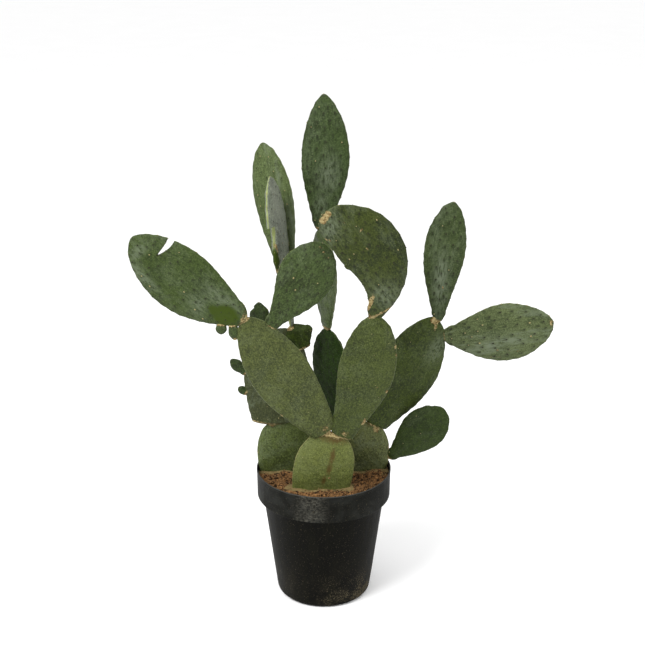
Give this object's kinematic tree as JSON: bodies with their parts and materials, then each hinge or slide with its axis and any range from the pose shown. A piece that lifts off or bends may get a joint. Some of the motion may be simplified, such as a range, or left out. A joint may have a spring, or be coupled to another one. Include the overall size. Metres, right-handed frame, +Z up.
{
  "type": "potted paddle cactus",
  "caption": "Tall branching paddle cactus with flat green pads on old woody trunk pads, growing in a round black nursery pot filled with soil.",
  "frame": {"origin": "middle of the pot's flat underside, which rests on the floor", "axes": "+Z up along the pot's axis, -Y towards the viewer of the plant's front, +X to that viewer's right"},
  "size_m": [0.8988, 0.3, 1.1181],
  "materials": {
    "pad_green": "matte",
    "pad_dark_green": "satin",
    "pad_grey": "matte",
    "trunk_green": "matte",
    "pot_plastic": "satin",
    "soil_mix": "matte"
  },
  "bodies": {
    "root": {"pot": "pot_plastic", "soil": "soil_mix", "trunk_front": "trunk_green", "trunk_left": "trunk_green", "trunk_right": "trunk_green", "pad_front_left": "pad_green", "pad_front_right": "pad_green", "pad_far_left": "pad_green", "pad_middle": "pad_green", "pad_curled": "pad_green", "pad_back_left": "pad_green", "pad_small_left": "pad_dark_green", "pad_stub": "pad_dark_green", "pad_tall_grey": "pad_grey", "pad_tall_back": "pad_green", "pad_back_low": "pad_dark_green", "pad_back_mid": "pad_dark_green", "pad_top": "pad_green", "pad_right": "pad_dark_green", "pad_right_upright": "pad_green", "pad_right_outer": "pad_green", "pad_right_small": "pad_dark_green", "bud_under_outer": "pad_green", "bud_under_inner": "pad_green", "bud_left_upper": "pad_dark_green", "bud_left_lower": "pad_dark_green"}
  },
  "joints": []
}
